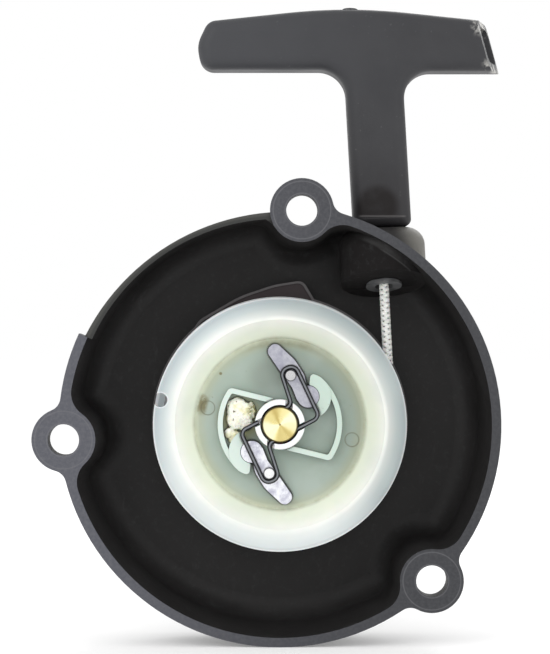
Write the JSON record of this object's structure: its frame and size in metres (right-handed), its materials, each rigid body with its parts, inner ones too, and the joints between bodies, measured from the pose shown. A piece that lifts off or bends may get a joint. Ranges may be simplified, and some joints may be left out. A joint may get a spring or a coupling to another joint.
{
  "type": "recoil starter",
  "caption": "Pull-rope recoil starter for a small engine: round open housing with ears, rope reel with swinging pawls, friction spring and a T-shaped pull handle.",
  "frame": {"origin": "on the reel's axis, in the plane of the housing's mounting face", "axes": "+X right and +Z towards the pull handle, seen from the open side; +Y along the reel's axis into the housing"},
  "size_m": [0.1662, 0.04, 0.2268],
  "materials": {
    "housing_plastic": "fine moulded grain, slightly worn",
    "handle_plastic": "fine matt grain",
    "guide_metal": "dull grey",
    "post_brass": "turned face",
    "washer_steel": "plain",
    "spring_steel": "blued strip",
    "reel_nylon": "milky natural nylon",
    "pawl_steel": "bright plated",
    "pin_steel": "bright turned",
    "spring_wire": "oil-blackened wire",
    "collar_nylon": "white nylon",
    "rope_nylon": "braided, white with black tracer"
  },
  "bodies": {
    "starter_housing": {"housing": "housing_plastic", "rope_guide": "guide_metal", "reel_post": "post_brass", "thrust_washer": "washer_steel", "recoil_spring": "spring_steel", "rope_lead": "rope_nylon", "rope_run": "rope_nylon"},
    "rope_reel": {"reel": "reel_nylon", "rope_wound": "rope_nylon", "rope_knot_reel": "rope_nylon"},
    "upper_pawl": {"pawl_upper": "pawl_steel", "pawl_pin_upper": "pin_steel"},
    "lower_pawl": {"pawl_lower": "pawl_steel", "pawl_pin_lower": "pin_steel"},
    "friction_set": {"friction_spring": "spring_wire", "hub_collar": "collar_nylon"},
    "pull_handle": {"handle_grip": "handle_plastic", "knot_washer": "washer_steel", "rope_knot_handle": "rope_nylon", "rope_in_handle": "rope_nylon"}
  },
  "joints": [
    {"name": "reel_spin", "type": "hinge", "parent": "starter_housing", "child": "rope_reel", "pos_m": [0, 0.02, 0], "axis": [0, -1, 0], "range_deg": [0, 1260], "stiffness_Nm_per_rad": 0.02, "springref_deg": -687.55},
    {"name": "handle_pull", "type": "slide", "parent": "starter_housing", "child": "pull_handle", "axis": [-0.0523, 0, 0.9986], "range_m": [0, 0.85], "deforming": ["rope_run"]},
    {"name": "upper_pawl_swing", "type": "hinge", "parent": "rope_reel", "child": "upper_pawl", "pos_m": [0.01005, 0.0144, 0.00986], "axis": [0, -1, 0], "range_deg": [0, 22]},
    {"name": "lower_pawl_swing", "type": "hinge", "parent": "rope_reel", "child": "lower_pawl", "pos_m": [-0.01005, 0.0144, -0.00986], "axis": [0, -1, 0], "range_deg": [0, 22]},
    {"name": "friction_turn", "type": "hinge", "parent": "rope_reel", "child": "friction_set", "pos_m": [0, 0.0117, 0], "axis": [0, -1, 0], "range_deg": [0, 14.6]}
  ],
  "couplings": [
    {"joint": "handle_pull", "follows": "reel_spin", "m_per_rad": 0.0385},
    {"joint": "lower_pawl_swing", "follows": "upper_pawl_swing", "ratio": 1},
    {"joint": "friction_turn", "follows": "upper_pawl_swing", "ratio": 0.66}
  ]
}
